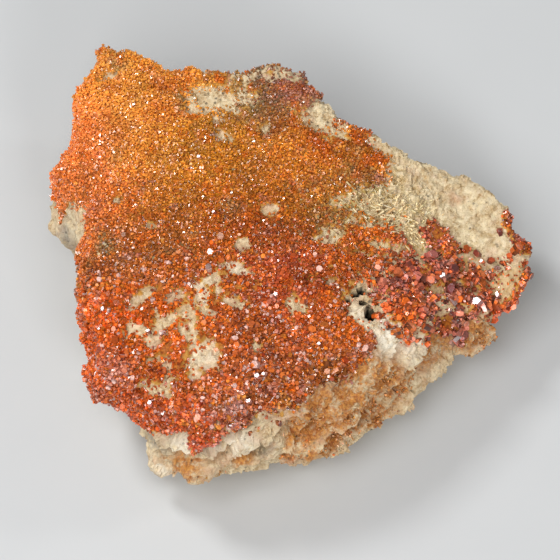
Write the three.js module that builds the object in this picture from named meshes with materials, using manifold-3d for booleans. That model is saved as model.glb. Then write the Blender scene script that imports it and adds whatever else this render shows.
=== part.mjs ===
// Vanadinite on matrix: a loose plate of pale rock whose upper side carries a crust of vanadinite.
// Millimetres, +Z up. +X runs along the plate towards its narrow arm, -Y is the stepped front side.
// The origin is on the surface the plate rests on, under the middle of the whole specimen.

import * as THREE from 'three';
import { mergeVertices } from 'three/addons/utils/BufferGeometryUtils.js';
import Module from 'manifold-3d';

const wasm = await Module();
wasm.setup();

// ---- Driving dimensions ----

const topHeight = 33; // rock surface above the resting face, away from the mounds
const crystalGap = 0.3; // between the rock and the crystals that grow on it
const fineCrust = 1.1; // height of the fine crystals' tips above the rock
const mediumCrust = 1.9; // the same in the middle and at the front left
const coarseCrust = 2.4; // the same on the arm
const thinCrust = 0.9; // the same on the broken front side
const raggedStep = 2.5; // between the corners of a druse's ragged edge
const raggedShift = 0.7; // how far each of them strays
const bottomDepth = 1.6; // the underside is made this far below the resting face, then cut flat
const farAway = 90; // beyond the specimen on every side
const columns = 84; // steps round the rock's sides
const shapeSeed = 11;

// The rock's widest line seen from above, clockwise from the back left horn: x, y, and its height.
const brim = [
  [-42, 41, 33], [-36, 32.8, 32], [-29, 30, 32], [-22, 32.8, 32], [-14, 31, 32], [-4, 34.2, 33],
  [1, 31.5, 32], [4.5, 26.5, 31], [12, 19.5, 30], [21, 14.5, 28], [28, 10, 27], [36, 9, 26],
  [46, 5, 25], [51.6, 2.2, 23], [52.8, -4, 22], [57, -14, 18], [54.5, -20, 17], [47.5, -24.5, 16],
  [50.5, -27.5, 12], [48.5, -31, 11], [40, -32, 11], [36, -33.5, 10], [33, -38.5, 10], [26.5, -45.5, 10],
  [19.5, -53, 10], [10, -59, 10], [-5.5, -63.5, 10], [-14, -65.5, 10], [-24, -67.5, 10],
  [-31.5, -64.5, 10], [-35.5, -59.5, 13], [-38.5, -55, 20], [-45, -51, 22], [-47.5, -46, 22],
  [-49, -36, 22], [-49.7, -22, 22], [-49.5, -13, 20], [-54.5, -4, 16], [-58, 3.5, 15], [-55, 9, 18],
  [-53.5, 13, 25], [-52, 20, 28], [-53.8, 24, 30], [-48, 31.5, 31],
];
const middle = new THREE.Vector2(-4, -12);

// Soft rises and hollows of the upper side: x, y, radius, height.
const mounds = [
  [-12, -18, 34, 5], [-38, 24, 20, 3], [-26, -48, 20, 2], [10, -38, 16, 2.5], [-10, 28, 14, 1.5],
  [46, -2, 24, -8], [52, -24, 16, -8], [26, -6, 12, 1.5],
];

// ---- Seeded randomness ----

function hash(x, y, z) {
  let h = Math.imul(x, 374761393) ^ Math.imul(y, 668265263) ^ Math.imul(z, 2147483647 - shapeSeed);
  h = Math.imul(h ^ (h >>> 13), 1274126177);
  h = Math.imul(h ^ (h >>> 16), 2246822519);
  return ((h ^ (h >>> 15)) >>> 0) / 4294967296;
}

// Smooth noise from -1 to 1 with one feature per unit of length.
function noise(x, y, z) {
  const cell = [Math.floor(x), Math.floor(y), Math.floor(z)];
  const [u, v, w] = [x - cell[0], y - cell[1], z - cell[2]].map((t) => t * t * (3 - 2 * t));
  let sum = 0;
  for (let corner = 0; corner < 8; corner++) {
    const [i, j, k] = [corner & 1, (corner >> 1) & 1, corner >> 2];
    const weight = (i ? u : 1 - u) * (j ? v : 1 - v) * (k ? w : 1 - w);
    sum += weight * hash(cell[0] + i, cell[1] + j, cell[2] + k);
  }
  return 2 * sum - 1;
}

function randomSource(seed) {
  let count = 0;
  return () => hash(seed, ++count, 7919);
}

// ---- Solids ----

function solidOf(geometry) {
  const bare = geometry.clone();
  bare.deleteAttribute('normal');
  bare.deleteAttribute('uv');
  const merged = mergeVertices(bare, 1e-4);
  const vertProperties = new Float32Array(merged.attributes.position.array);
  const corners = [...merged.index.array];
  const kept = corners.filter((corner, i) => {
    const [a, b, c] = corners.slice(i - (i % 3), i - (i % 3) + 3);
    return a !== b && b !== c && c !== a;
  });
  const triVerts = new Uint32Array(kept);
  return new wasm.Manifold(new wasm.Mesh({ numProp: 3, vertProperties, triVerts }));
}

function geometryOf(solid) {
  const mesh = solid.getMesh();
  const geometry = new THREE.BufferGeometry();
  geometry.setAttribute('position', new THREE.BufferAttribute(new Float32Array(mesh.vertProperties), 3));
  geometry.setIndex([...mesh.triVerts]);
  return geometry;
}

// Crumbs that a cut leaves beside the piece are dropped.
function largestPiece(solid) {
  return solid.decompose().reduce((best, part) => (part.volume() > best.volume() ? part : best));
}

// ---- The rock ----

const brimCorners = brim.map((corner) => new THREE.Vector3(...corner));
const brimCurve = new THREE.CatmullRomCurve3(brimCorners, true, 'catmullrom', 0.4);
const brimPoints = brimCurve.getPoints(900).map((p) => ({
  angle: Math.atan2(p.y - middle.y, p.x - middle.x),
  radius: Math.hypot(p.x - middle.x, p.y - middle.y),
  height: p.z,
}));

function brimAt(angle) {
  const turn = (p) => Math.abs(Math.atan2(Math.sin(p.angle - angle), Math.cos(p.angle - angle)));
  return brimPoints.reduce((best, p) => (turn(p) < turn(best) ? p : best));
}

function smooth(from, to, value) {
  const t = THREE.MathUtils.clamp((value - from) / (to - from), 0, 1);
  return t * t * (3 - 2 * t);
}

function upperSide(x, y) {
  let z = topHeight;
  for (const [cx, cy, radius, height] of mounds) {
    z += height * Math.exp(-((x - cx) ** 2 + (y - cy) ** 2) / radius ** 2);
  }
  return z;
}

// Each ring of the rock has its place between the middle and the brim, and its own number of points.
const degrees = THREE.MathUtils.degToRad;
const topRings = [0.16, 0.32, 0.47, 0.61, 0.74, 0.86, 0.95, 1].map((share) => ({
  share,
  columns: Math.round(columns * share),
}));
const shoulderRings = [28, 50, 70, 90].map((turn) => ({ over: degrees(turn), columns }));
const underRings = [0.33, 0.66, 1].map((under) => ({ under, columns }));
const bottomRings = [0.8, 0.4].map((bottom) => ({ bottom, columns: Math.round(columns * bottom) }));
const rings = [...topRings, ...shoulderRings, ...underRings, ...bottomRings];

function ringPoint(ring, angle) {
  const edge = brimAt(angle);
  const outward = new THREE.Vector2(Math.cos(angle), Math.sin(angle));
  const edgePoint = outward.clone().multiplyScalar(edge.radius).add(middle);
  const frontRight = smooth(0, 20, edgePoint.x) * smooth(-20, -40, edgePoint.y);
  const shoulder = 0.93 - 0.1 * frontRight; // share of the radius where the upper side starts to turn down
  const onArm = smooth(14, 52, edgePoint.x);
  const onCorner = smooth(-22, -38, edgePoint.x) * smooth(-30, -46, edgePoint.y);
  const foot = 0.82 - 0.24 * onArm - 0.16 * onCorner; // share of the radius where the underside starts
  let share;
  let height;
  if (ring.share !== undefined) {
    share = shoulder * ring.share;
  } else if (ring.over !== undefined) {
    share = shoulder + (1 - shoulder) * Math.sin(ring.over);
  } else if (ring.under !== undefined) {
    share = 1 - (1 - foot) * ring.under;
    height = edge.height - (edge.height + bottomDepth) * ring.under;
  } else {
    share = foot * ring.bottom;
    height = -bottomDepth;
  }
  const place = outward.multiplyScalar(edge.radius * share).add(middle);
  if (ring.share !== undefined) {
    height = upperSide(place.x, place.y);
  } else if (ring.over !== undefined) {
    height = edge.height + (upperSide(place.x, place.y) - edge.height) * Math.cos(ring.over);
  }
  return new THREE.Vector3(place.x, place.y, height);
}

// Triangles between two neighbouring rings whose numbers of points differ.
function stitch(index, innerStart, innerCount, outerStart, outerCount) {
  let inner = 0;
  let outer = 0;
  while (inner < innerCount || outer < outerCount) {
    const innerCorner = innerStart + (inner % innerCount);
    const outerCorner = outerStart + (outer % outerCount);
    if ((outer + 0.5) / outerCount <= (inner + 0.5) / innerCount) {
      outer++;
      index.push(innerCorner, outerCorner, outerStart + (outer % outerCount));
    } else {
      inner++;
      index.push(innerCorner, outerCorner, innerStart + (inner % innerCount));
    }
  }
}

function closedRingSurface() {
  const points = [new THREE.Vector3(middle.x, middle.y, upperSide(middle.x, middle.y))];
  const starts = [];
  for (const ring of rings) {
    starts.push(points.length);
    for (let column = 0; column < ring.columns; column++) {
      points.push(ringPoint(ring, (2 * Math.PI * column) / ring.columns));
    }
  }
  points.push(new THREE.Vector3(middle.x, middle.y, -bottomDepth));
  const index = [];
  stitch(index, 0, 1, starts[0], rings[0].columns);
  for (let row = 1; row < rings.length; row++) {
    stitch(index, starts[row - 1], rings[row - 1].columns, starts[row], rings[row].columns);
  }
  stitch(index, starts[rings.length - 1], rings[rings.length - 1].columns, points.length - 1, 1);
  const geometry = new THREE.BufferGeometry().setFromPoints(points);
  geometry.setIndex(index.filter((corner, i) => {
    const [a, b, c] = index.slice(i - (i % 3), i - (i % 3) + 3);
    return a !== b && b !== c && c !== a;
  }));
  geometry.computeVertexNormals();
  return geometry;
}

// Moves every vertex along its normal by what amount(position, normal) gives.
function pushed(geometry, amount) {
  const result = geometry.clone();
  const position = result.attributes.position;
  const normals = geometry.attributes.normal;
  const point = new THREE.Vector3();
  const normal = new THREE.Vector3();
  for (let i = 0; i < position.count; i++) {
    point.fromBufferAttribute(position, i);
    normal.fromBufferAttribute(normals, i);
    point.addScaledVector(normal, amount(point, normal));
    position.setXYZ(i, point.x, point.y, point.z);
  }
  result.computeVertexNormals();
  return result;
}

// Noise whose features are length wide and height high.
function noiseAt(point, length, height = length) {
  return noise(point.x / length, point.y / length, point.z / height);
}

// Lumps all over, and ledges on the broken sides.
function rockRelief(point, normal) {
  const side = smooth(0.8, 0.3, Math.abs(normal.z));
  return 0.9 * noiseAt(point, 13) + 0.45 * noiseAt(point, 5) + side * 2 * noiseAt(point, 14, 6);
}

const rockSurface = pushed(closedRingSurface(), rockRelief);

function block(xMin, xMax, yMin, yMax, zMin, zMax) {
  const box = new THREE.BoxGeometry(xMax - xMin, yMax - yMin, zMax - zMin);
  box.translate((xMin + xMax) / 2, (yMin + yMax) / 2, (zMin + zMax) / 2);
  return solidOf(box);
}

const belowRestingFace = block(-farAway, farAway, -farAway, farAway, -farAway, 0);

// The small pit beside the pale ridge, near the front of the upper side.
function pit() {
  const place = new THREE.Vector2(17.2, -34.4);
  const hollow = new THREE.IcosahedronGeometry(1, 1);
  hollow.scale(2.4, 1.7, 6);
  hollow.rotateZ(-0.7);
  hollow.translate(place.x, place.y, upperSide(place.x, place.y));
  return solidOf(hollow);
}

const matrixSolid = largestPiece(solidOf(rockSurface).subtract(belowRestingFace).subtract(pit()));

// ---- The crust and the druses ----

const rockWithGap = solidOf(pushed(rockSurface, () => crystalGap));

// How far the crystals' tips stand above the rock: fine at the back left, coarse on the arm.
function crustHeight(x, y) {
  const towardsFront = smooth(15, -25, y);
  const onArm = smooth(20, 34, x);
  const even = THREE.MathUtils.lerp(fineCrust, mediumCrust, towardsFront);
  return THREE.MathUtils.lerp(even, coarseCrust, onArm);
}

function crystalTips(point) {
  return crustHeight(point.x, point.y) + 0.3 * noiseAt(point, 2.5);
}

const crustSolid = solidOf(pushed(rockSurface, crystalTips));
const thinCrustSolid = solidOf(pushed(rockSurface, () => thinCrust));

// The outline with its long sides broken up, and moved about like the edge of a druse.
function ragged(corners) {
  const result = [];
  corners.forEach((from, i) => {
    const to = corners[(i + 1) % corners.length];
    const steps = Math.max(1, Math.round(Math.hypot(to[0] - from[0], to[1] - from[1]) / raggedStep));
    for (let step = 0; step < steps; step++) {
      const at = from.map((value, axis) => THREE.MathUtils.lerp(value, to[axis], step / steps));
      const shift = (axis) => raggedShift * noise(at[0] * 0.8, at[1] * 0.8, 7 * axis + 0.5);
      result.push(at.map((value, axis) => value + (axis < 2 ? shift(axis) : 2 * shift(axis))));
    }
  });
  return result;
}

// A closed fence round an area seen from above; each corner has the height of its lower hem.
function fence(area) {
  const corners = ragged(area);
  const shape = new THREE.Shape(corners.map(([x, y]) => new THREE.Vector2(x, y)));
  const geometry = new THREE.ExtrudeGeometry(shape, { depth: farAway, bevelEnabled: false });
  const position = geometry.attributes.position;
  for (let i = 0; i < position.count; i++) {
    if (position.getZ(i) === 0) {
      const away = ([x, y]) => Math.hypot(x - position.getX(i), y - position.getY(i));
      const corner = corners.reduce((best, c) => (away(c) < away(best) ? c : best));
      position.setZ(i, corner[2]);
    }
  }
  return solidOf(geometry);
}

// The same fence lying down: corners are x and z, and it runs along Y over the front side.
function frontFence(corners, yBack) {
  const shape = new THREE.Shape(ragged(corners).map(([x, z]) => new THREE.Vector2(x, z)));
  const geometry = new THREE.ExtrudeGeometry(shape, { depth: farAway + yBack, bevelEnabled: false });
  geometry.rotateX(Math.PI / 2);
  geometry.translate(0, yBack, 0);
  return solidOf(geometry);
}

// ---- Areas of crystals: corners x, y and the height of the hem ----

const mainCrustArea = [
  [-41, 38, 30], [-34, 41, 27], [-23, 40, 26], [-10, 40, 26], [3, 39, 28], [9, 31, 28],
  [4.5, 25.5, 20], [3, 21.5, 20], [6, 16.5, 20], [11, 16.5, 20], [16, 13.5, 20], [22, 8, 20],
  [21.5, 3, 20], [14, 1.5, 20], [14.5, -3, 20], [21, -5, 20], [25.5, -7, 20], [28.2, -13.5, 20],
  [27.5, -17, 20], [22, -19.5, 20], [19, -24, 20], [15, -26.5, 20], [13.5, -31.5, 20],
  [15.5, -36.5, 20], [19, -39, 22], [19.5, -42.5, 22], [16.5, -47, 22], [12.5, -50.8, 22],
  [6.5, -53.5, 22], [3, -58, 22], [-1.5, -62, 24], [-8, -64.5, 31], [-13, -65.5, 31],
  [-23, -66, 31], [-30, -65, 31], [-36, -61.5, 26], [-44, -60, 20], [-55, -54, 19],
  [-58, -36, 19], [-57, -22, 19],
  [-54, -17, 20], [-48.5, -12, 22], [-48, -5, 22], [-56, -1, 22], [-63, 8, 22], [-61, 22, 23],
  [-59, 29, 25], [-54, 35, 27], [-48, 39, 28],
];

// The crust hangs over the front edge in one tongue.
const tongueArea = [
  [-26, -58, 31], [-11.5, -58, 31], [-13.5, -66, 30], [-16.5, -72, 24], [-20.5, -72, 24], [-24, -66, 30],
];

// Bare windows in the main crust, where the rock shows.
const upperWindow = [
  [-24, 24, 20], [-21, 27, 20], [-14, 26, 20], [-12.5, 22.5, 20], [-18, 21, 20], [-23, 21.5, 20],
];
const frontWindow = [[-24, -49, 20], [-18, -44, 20], [-17, -47, 20], [-19, -52, 20], [-21.5, -50.5, 20]];
const middleWindow = [[-18, -27, 20], [-13, -23.5, 20], [-9.5, -22.5, 20], [-11.5, -26, 20], [-16, -28, 20]];

const rightDruseArea = [
  [21.5, -22.5, 18], [26, -20.5, 18], [31, -18.5, 18], [35, -17, 18], [38.5, -15.5, 18],
  [41, -14.5, 16], [43.5, -16.5, 16], [46, -17.5, 16], [48.5, -17.5, 15], [52, -16, 15],
  [56, -13.5, 15], [61, -12.5, 16], [63, -18, 15.5], [57, -21, 15.5], [50.5, -23.5, 15],
  [45.5, -26.8, 15], [43, -30, 15], [38, -33.5, 20], [34, -36.5, 22], [28, -38.5, 20],
  [24, -37, 20], [21.5, -33, 20], [20.3, -28, 20],
];
const islandArea = [
  [31.5, -9.5, 18], [34, -6.6, 18], [36.5, -7.6, 18], [39, -11, 18], [37.2, -13.4, 18], [33.5, -12.4, 18],
];
const rimArea = [
  [51.3, -1.5, 18], [58, 1, 20], [61, -3, 19], [62, -10, 18], [55, -10, 18], [52.5, -6, 18],
];
const backEdgeArea = [[10.5, 18, 26], [16, 14.5, 26], [22, 17.5, 26], [15, 26, 26]];

// On the broken front side: corners x and z.
const flankLeftArea = [[-27, 10], [-24, 8], [-18.5, 10], [-18, 15], [-22, 17.5], [-26.5, 15]];
const flankMiddleArea = [[-0.5, 12], [4, 9], [11, 10], [13, 16], [12.5, 24], [8, 27], [2, 25], [-1.5, 17]];
const flankRightArea = [[14.5, 18], [16, 13], [21, 10], [27, 12], [29, 18], [24, 24], [18, 26], [14.5, 25]];
const ledgeArea = [[39, 9], [48, 9.5], [50, 12.5], [46, 15], [40, 14.5]];

// ---- Hexagonal crystals ----

// A short six-sided prism with a bevelled end, standing on the origin along +Z.
function hexagonalPrism(radius, length, bevel) {
  const bevelled = bevel > 0 ? [[radius, length - bevel]] : [];
  const profile = [[0, 0], [radius, 0], ...bevelled, [radius - bevel, length], [0, length]];
  const prism = new THREE.LatheGeometry(profile.map(([r, z]) => new THREE.Vector2(r, z)), 6);
  prism.rotateX(Math.PI / 2);
  return prism;
}

const rockTarget = new THREE.Mesh(rockSurface);
const downRay = new THREE.Raycaster();
const up = new THREE.Vector3(0, 0, 1);

function rockAt(x, y) {
  downRay.set(new THREE.Vector3(x, y, farAway), new THREE.Vector3(0, 0, -1));
  const hit = downRay.intersectObject(rockTarget)[0];
  return { point: hit.point, normal: hit.face.normal };
}

// A crystal that grows out of the rock at x, y, leaning by lean from the rock's normal.
function crystalOnRock(x, y, radius, length, lean, turn, bevel = 0) {
  const { point, normal } = rockAt(x, y);
  const sideways = new THREE.Vector3(Math.cos(turn), Math.sin(turn), 0).multiplyScalar(lean);
  const axis = normal.clone().add(sideways).normalize();
  const prism = hexagonalPrism(radius, length + radius, bevel);
  prism.rotateZ(turn);
  prism.applyQuaternion(new THREE.Quaternion().setFromUnitVectors(up, axis));
  const foot = point.clone().addScaledVector(axis, -radius);
  prism.translate(foot.x, foot.y, foot.z);
  return solidOf(prism);
}

function inside(corners, x, y) {
  let odd = false;
  corners.forEach(([ax, ay], i) => {
    const [bx, by] = corners[(i + 1) % corners.length];
    if (ay > y !== by > y && x < ax + ((bx - ax) * (y - ay)) / (by - ay)) {
      odd = !odd;
    }
  });
  return odd;
}

// Larger crystals that stand out of a druse: spots keep clear of its edge by the crystal's own size.
function standingCrystals(area, count, radiusFrom, radiusTo, seed) {
  const random = randomSource(seed);
  const box = new THREE.Box2().setFromPoints(area.map(([x, y]) => new THREE.Vector2(x, y)));
  const crystals = [];
  while (crystals.length < count) {
    const x = THREE.MathUtils.lerp(box.min.x, box.max.x, random());
    const y = THREE.MathUtils.lerp(box.min.y, box.max.y, random());
    const radius = THREE.MathUtils.lerp(radiusFrom, radiusTo, random());
    const turn = 2 * Math.PI * random();
    const lean = 0.7 * random();
    const reach = 1.8 * radius;
    const spots = [0, 1, 2, 3, 4, 5].map((i) => (i * Math.PI) / 3);
    const clear = spots.every((a) => inside(area, x + reach * Math.cos(a), y + reach * Math.sin(a)));
    const brimRadius = brimAt(Math.atan2(y - middle.y, x - middle.x)).radius;
    const offTheEdge = Math.hypot(x - middle.x, y - middle.y) < 0.9 * brimRadius;
    if (clear && offTheEdge) {
      crystals.push(crystalOnRock(x, y, radius, crustHeight(x, y) + 0.6 * radius, lean, turn));
    }
  }
  return crystals;
}

function joined(first, others) {
  return others.reduce((all, solid) => all.add(solid), first);
}

// ---- The pieces ----

const orangeRed = { color: 0xb4491c, roughness: 0.35, metalness: 0 };
const deepRed = { color: 0x8e2c24, roughness: 0.25, metalness: 0 };
const orangeBrown = { color: 0xb5763c, roughness: 0.45, metalness: 0 };
const paleRock = { color: 0xd9c39a, roughness: 0.85, metalness: 0 };

const specimen = new THREE.Group();

function addPiece(name, solid, look) {
  const mesh = new THREE.Mesh(geometryOf(largestPiece(solid)), new THREE.MeshStandardMaterial(look));
  mesh.name = name;
  specimen.add(mesh);
}

function druse(layer, clip, crystals = []) {
  return joined(layer.intersect(clip), crystals).subtract(rockWithGap);
}

addPiece('matrix', matrixSolid, paleRock);

const windows = joined(fence(upperWindow), [fence(frontWindow), fence(middleWindow)]);
const mainClip = joined(fence(mainCrustArea), [fence(tongueArea)]).subtract(windows);
const mainCrystals = standingCrystals(mainCrustArea, 16, 0.8, 1.3, 101);
addPiece('main_crust', druse(crustSolid, mainClip, mainCrystals).subtract(windows), orangeRed);

const rightCrystals = standingCrystals(rightDruseArea, 22, 0.9, 1.6, 202);
addPiece('right_druse', druse(crustSolid, fence(rightDruseArea), rightCrystals), deepRed);
addPiece('island_druse', druse(crustSolid, fence(islandArea)), deepRed);
addPiece('rim_druse', druse(crustSolid, fence(rimArea)), deepRed);
addPiece('back_edge_druse', druse(crustSolid, fence(backEdgeArea)), orangeRed);
addPiece('flank_druse_left', druse(thinCrustSolid, frontFence(flankLeftArea, -40)), orangeBrown);
addPiece('flank_druse_middle', druse(thinCrustSolid, frontFence(flankMiddleArea, -30)), orangeBrown);
addPiece('flank_druse_right', druse(thinCrustSolid, frontFence(flankRightArea, -25)), orangeBrown);
addPiece('ledge_druse', druse(thinCrustSolid, frontFence(ledgeArea, -18)), orangeBrown);

const loneBevel = 0.12;
// Crystals that stand alone on the bare rock: x, y, radius, length, lean, turn.
const loneCrystals = [
  [32.6, -15.6, 1.1, 1.8, 0.5, 0.4], [44.6, -11.8, 0.9, 1.5, 0.3, 1.9], [50.2, -6, 0.8, 1.2, 0.4, 3.1],
  [52.2, -11.8, 0.8, 1.3, 0.2, 4.4], [47.4, -13.2, 0.8, 1.2, 0.5, 5.2], [41.5, -11.2, 0.9, 1.4, 0.3, 0.9],
];
loneCrystals.forEach((crystal, i) => {
  addPiece(`crystal_${i + 1}`, crystalOnRock(...crystal, loneBevel).subtract(rockWithGap), deepRed);
});

// The origin goes to the resting face, under the middle of the specimen.
const extent = new THREE.Box3().setFromObject(specimen);
const centre = extent.getCenter(new THREE.Vector3());
for (const mesh of specimen.children) {
  mesh.geometry.translate(-centre.x, -centre.y, -extent.min.z);
}

export default specimen;
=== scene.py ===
"""Vanadinite on matrix: the looks of the specimen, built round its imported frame.

The rock is the frame's rock, made finer and broken into ledges, blades and grains.
Every druse is joined meshes of six-sided crystals that grow on that rock where the frame has the druse.
Lengths in this script are millimetres in the frame's axes unless a name says otherwise.
"""

import math

import bpy
import numpy as np
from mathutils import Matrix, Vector
from mathutils.bvhtree import BVHTree


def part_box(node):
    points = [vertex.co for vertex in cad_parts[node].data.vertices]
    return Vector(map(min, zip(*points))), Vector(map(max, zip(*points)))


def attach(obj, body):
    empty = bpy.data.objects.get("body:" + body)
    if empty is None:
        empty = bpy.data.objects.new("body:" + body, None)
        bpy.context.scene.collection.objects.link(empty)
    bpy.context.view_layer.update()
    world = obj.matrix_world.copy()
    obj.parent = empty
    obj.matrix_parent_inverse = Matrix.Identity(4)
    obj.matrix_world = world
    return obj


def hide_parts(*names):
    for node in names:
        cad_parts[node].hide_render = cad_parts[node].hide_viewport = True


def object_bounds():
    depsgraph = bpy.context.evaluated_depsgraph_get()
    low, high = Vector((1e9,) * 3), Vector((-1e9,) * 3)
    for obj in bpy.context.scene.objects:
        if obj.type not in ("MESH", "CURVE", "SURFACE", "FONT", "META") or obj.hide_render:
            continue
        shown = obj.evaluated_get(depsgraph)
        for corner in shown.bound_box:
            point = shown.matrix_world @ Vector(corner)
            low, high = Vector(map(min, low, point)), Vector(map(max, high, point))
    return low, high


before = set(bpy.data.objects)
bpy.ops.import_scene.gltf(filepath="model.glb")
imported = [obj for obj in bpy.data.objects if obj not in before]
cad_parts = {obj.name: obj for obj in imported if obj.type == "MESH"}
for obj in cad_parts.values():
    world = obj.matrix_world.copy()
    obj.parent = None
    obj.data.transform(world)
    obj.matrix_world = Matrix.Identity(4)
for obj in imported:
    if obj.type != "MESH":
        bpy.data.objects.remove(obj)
cad_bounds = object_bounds()

MM = 0.001
random = np.random.default_rng(20)

low = np.array(cad_bounds[0]) / MM
high = np.array(cad_bounds[1]) / MM
size = high - low
centre = (low + high) / 2


# ---- Small helpers ----

def smooth(start, end, value):
    """0 up to start and 1 from end on, with a soft curve between; end may be the lower of the two."""
    share = np.clip((value - start) / (end - start), 0, 1)
    return share * share * (3 - 2 * share)


def unit(vectors):
    """The vectors, each made one long."""
    return vectors / np.maximum(np.linalg.norm(vectors, axis=-1, keepdims=True), 1e-9)


def linear(code):
    """A colour written as six hexadecimal digits, as scene linear red, green and blue."""
    shares = [int(code[i:i + 2], 16) / 255 for i in (0, 2, 4)]
    return np.array([s / 12.92 if s <= 0.04045 else ((s + 0.055) / 1.055) ** 2.4 for s in shares])


def lattice(cells, seed):
    """A random number from 0 to 1 for each whole-numbered cell; the large factors only stir its bits."""
    x, y, z = (cells[..., axis].astype(np.int64).astype(np.uint32) for axis in range(3))
    stirred = x * np.uint32(374761393) ^ y * np.uint32(668265263) ^ z * np.uint32(2147483629)
    stirred = (stirred ^ np.uint32(seed * 7919 + 17)) * np.uint32(2246822519)
    stirred = (stirred ^ (stirred >> np.uint32(13))) * np.uint32(1274126177)
    stirred = (stirred ^ (stirred >> np.uint32(16))) * np.uint32(3266489917)
    return (stirred ^ (stirred >> np.uint32(15))).astype(float) / 2**32


def noise(points, length, seed):
    """Smooth noise from -1 to 1 whose features are length across; length may differ by axis."""
    places = points / np.asarray(length, float)
    cell = np.floor(places)
    within = places - cell
    within = within * within * (3 - 2 * within)
    total = np.zeros(len(points))
    for corner in range(8):
        step = np.array([corner & 1, (corner >> 1) & 1, corner >> 2])
        weight = np.prod(np.where(step, within, 1 - within), axis=1)
        total += weight * lattice(cell + step, seed)
    return 2 * total - 1


def fractal(points, length, seed, octaves=3):
    """Noise with finer noise on it, mostly from -1 to 1: each octave is half as long and half as strong."""
    total = np.zeros(len(points))
    for octave in range(octaves):
        total += noise(points, np.asarray(length, float) / 2**octave, seed + octave) / 2**octave
    return total / 1.5


def broken_faces(points, length, seed, steepness):
    """Relief of a broken surface: each cell of rock is one flat, tilted face."""
    places = points / np.asarray(length, float)
    cell = np.floor(places)
    best = np.full(len(points), np.inf)
    relief = np.zeros(len(points))
    for corner in range(27):
        step = np.array([corner % 3, (corner // 3) % 3, corner // 9]) - 1
        near = cell + step
        jitter = np.stack([lattice(near, seed + axis) for axis in range(3)], axis=1)
        offset = places - near - jitter
        distance = (offset**2).sum(axis=1)
        tilt = np.stack([lattice(near, seed + 3 + axis) for axis in range(3)], axis=1) - 0.5
        height = lattice(near, seed + 6) - 0.5 + steepness * (offset * tilt).sum(axis=1)
        closer = distance < best
        best = np.where(closer, distance, best)
        relief = np.where(closer, height, relief)
    return relief


def added(name, data):
    """A new object in the scene, made of a mesh, a light or a camera."""
    holder = bpy.data.objects.new(name, data)
    bpy.context.collection.objects.link(holder)
    return holder


# ---- Camera, lights and floor ----

view_elevation = math.radians(60)

# Lengths as shares of the specimen's width.
picture_share = 1.1516
distance_share = 40
aim_left_share = 0.0267
aim_down_share = 0.0155

look = np.array([0, math.cos(view_elevation), -math.sin(view_elevation)])
screen_up = np.array([0, math.sin(view_elevation), math.cos(view_elevation)])
screen_right = np.array([1.0, 0, 0])


def add_camera():
    """Looks down at the specimen from far away, as the long lens of the picture does."""
    distance = distance_share * size[0]
    aim = centre - aim_left_share * size[0] * screen_right - aim_down_share * size[0] * screen_up
    camera = bpy.data.cameras.new("camera")
    camera.sensor_width = 36
    camera.lens = camera.sensor_width * distance / (picture_share * size[0])
    camera.clip_start = 0.01
    holder = added("camera", camera)
    holder.location = Vector((aim - distance * look) * MM)
    holder.rotation_euler = (math.pi / 2 - view_elevation, 0, 0)
    bpy.context.scene.camera = holder


# Soft square lights: name, direction from the specimen, distance and width in metres, power in watts.
key_direction = (-0.5, 0.3, 0.8)
lights = [
    ("softbox", (-0.3, -0.45, 0.85), 1.1, 0.7, 7.0),
    ("key", key_direction, 0.9, 0.2, 3.2),
    ("front", (0.2, -0.8, 0.55), 1.0, 0.25, 3.0),
    ("side", (0.8, 0.1, 0.6), 1.0, 0.14, 0.9),
]


def add_light(name, direction, distance, width, power):
    """A light that looks at the middle of the specimen."""
    light = bpy.data.lights.new(name, "AREA")
    light.size = width
    light.energy = power
    holder = added(name, light)
    towards = Vector(direction).normalized()
    holder.location = Vector(centre * MM) + towards * distance
    holder.rotation_euler = towards.to_track_quat("Z", "Y").to_euler()


def add_surroundings():
    """The lights and an even, weak, white sky."""
    for light in lights:
        add_light(*light)
    world = bpy.data.worlds.new("studio")
    world.use_nodes = True
    background = world.node_tree.nodes["Background"]
    background.inputs["Color"].default_value = (1, 1, 1, 1)
    background.inputs["Strength"].default_value = 0.16
    bpy.context.scene.world = world
    bpy.context.scene.view_settings.view_transform = "Standard"


def add_floor(material):
    """A plain square floor under the specimen, in metres."""
    half = 3.0
    corners = [(-half, -half, 0), (half, -half, 0), (half, half, 0), (-half, half, 0)]
    mesh = bpy.data.meshes.new("floor")
    mesh.from_pydata(corners, [], [(0, 1, 2, 3)])
    mesh.materials.append(material)
    floor = added("floor", mesh)


# ---- Materials ----

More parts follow.
